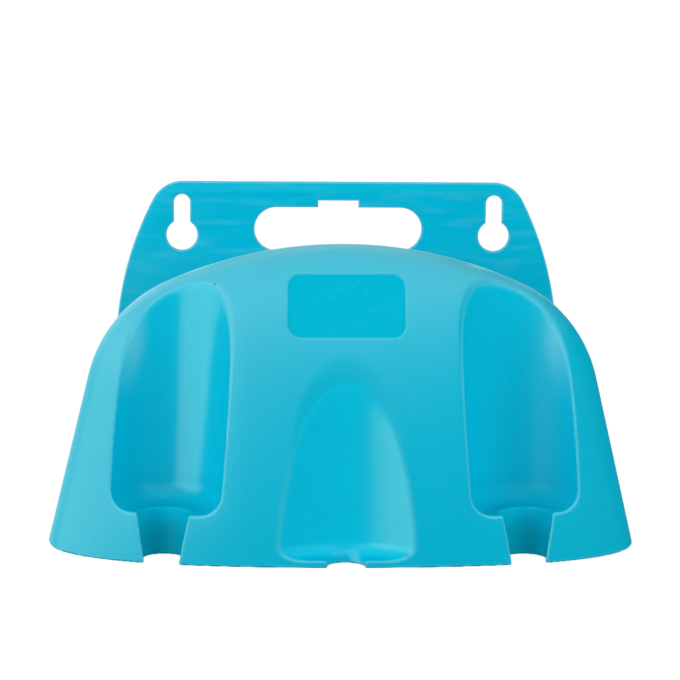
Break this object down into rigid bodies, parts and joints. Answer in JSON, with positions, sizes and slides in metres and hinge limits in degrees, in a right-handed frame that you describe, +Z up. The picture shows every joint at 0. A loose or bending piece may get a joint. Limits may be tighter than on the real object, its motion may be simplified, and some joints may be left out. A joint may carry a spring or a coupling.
{
  "type": "wall hose hanger",
  "caption": "Wall-mounted garden hose hanger: a keyhole plate with a hand hole, an arched saddle and a domed front with nozzle pockets and a centre trough.",
  "frame": {"origin": "middle of the wall plate's back, 80 mm above its foot", "axes": "+X to the right seen from the front, +Y into the wall, +Z up"},
  "size_m": [0.272, 0.1245, 0.1592],
  "materials": {
    "cyan_plastic": "satin moulded polypropylene",
    "zinc_plated_steel": "zinc plated"
  },
  "bodies": {
    "root": {"hose_cradle": "cyan_plastic", "wall_plate": "cyan_plastic", "assembly_screw_1": "zinc_plated_steel", "assembly_screw_2": "zinc_plated_steel", "assembly_screw_3": "zinc_plated_steel", "assembly_screw_4": "zinc_plated_steel", "assembly_screw_5": "zinc_plated_steel", "assembly_screw_6": "zinc_plated_steel"}
  },
  "joints": []
}
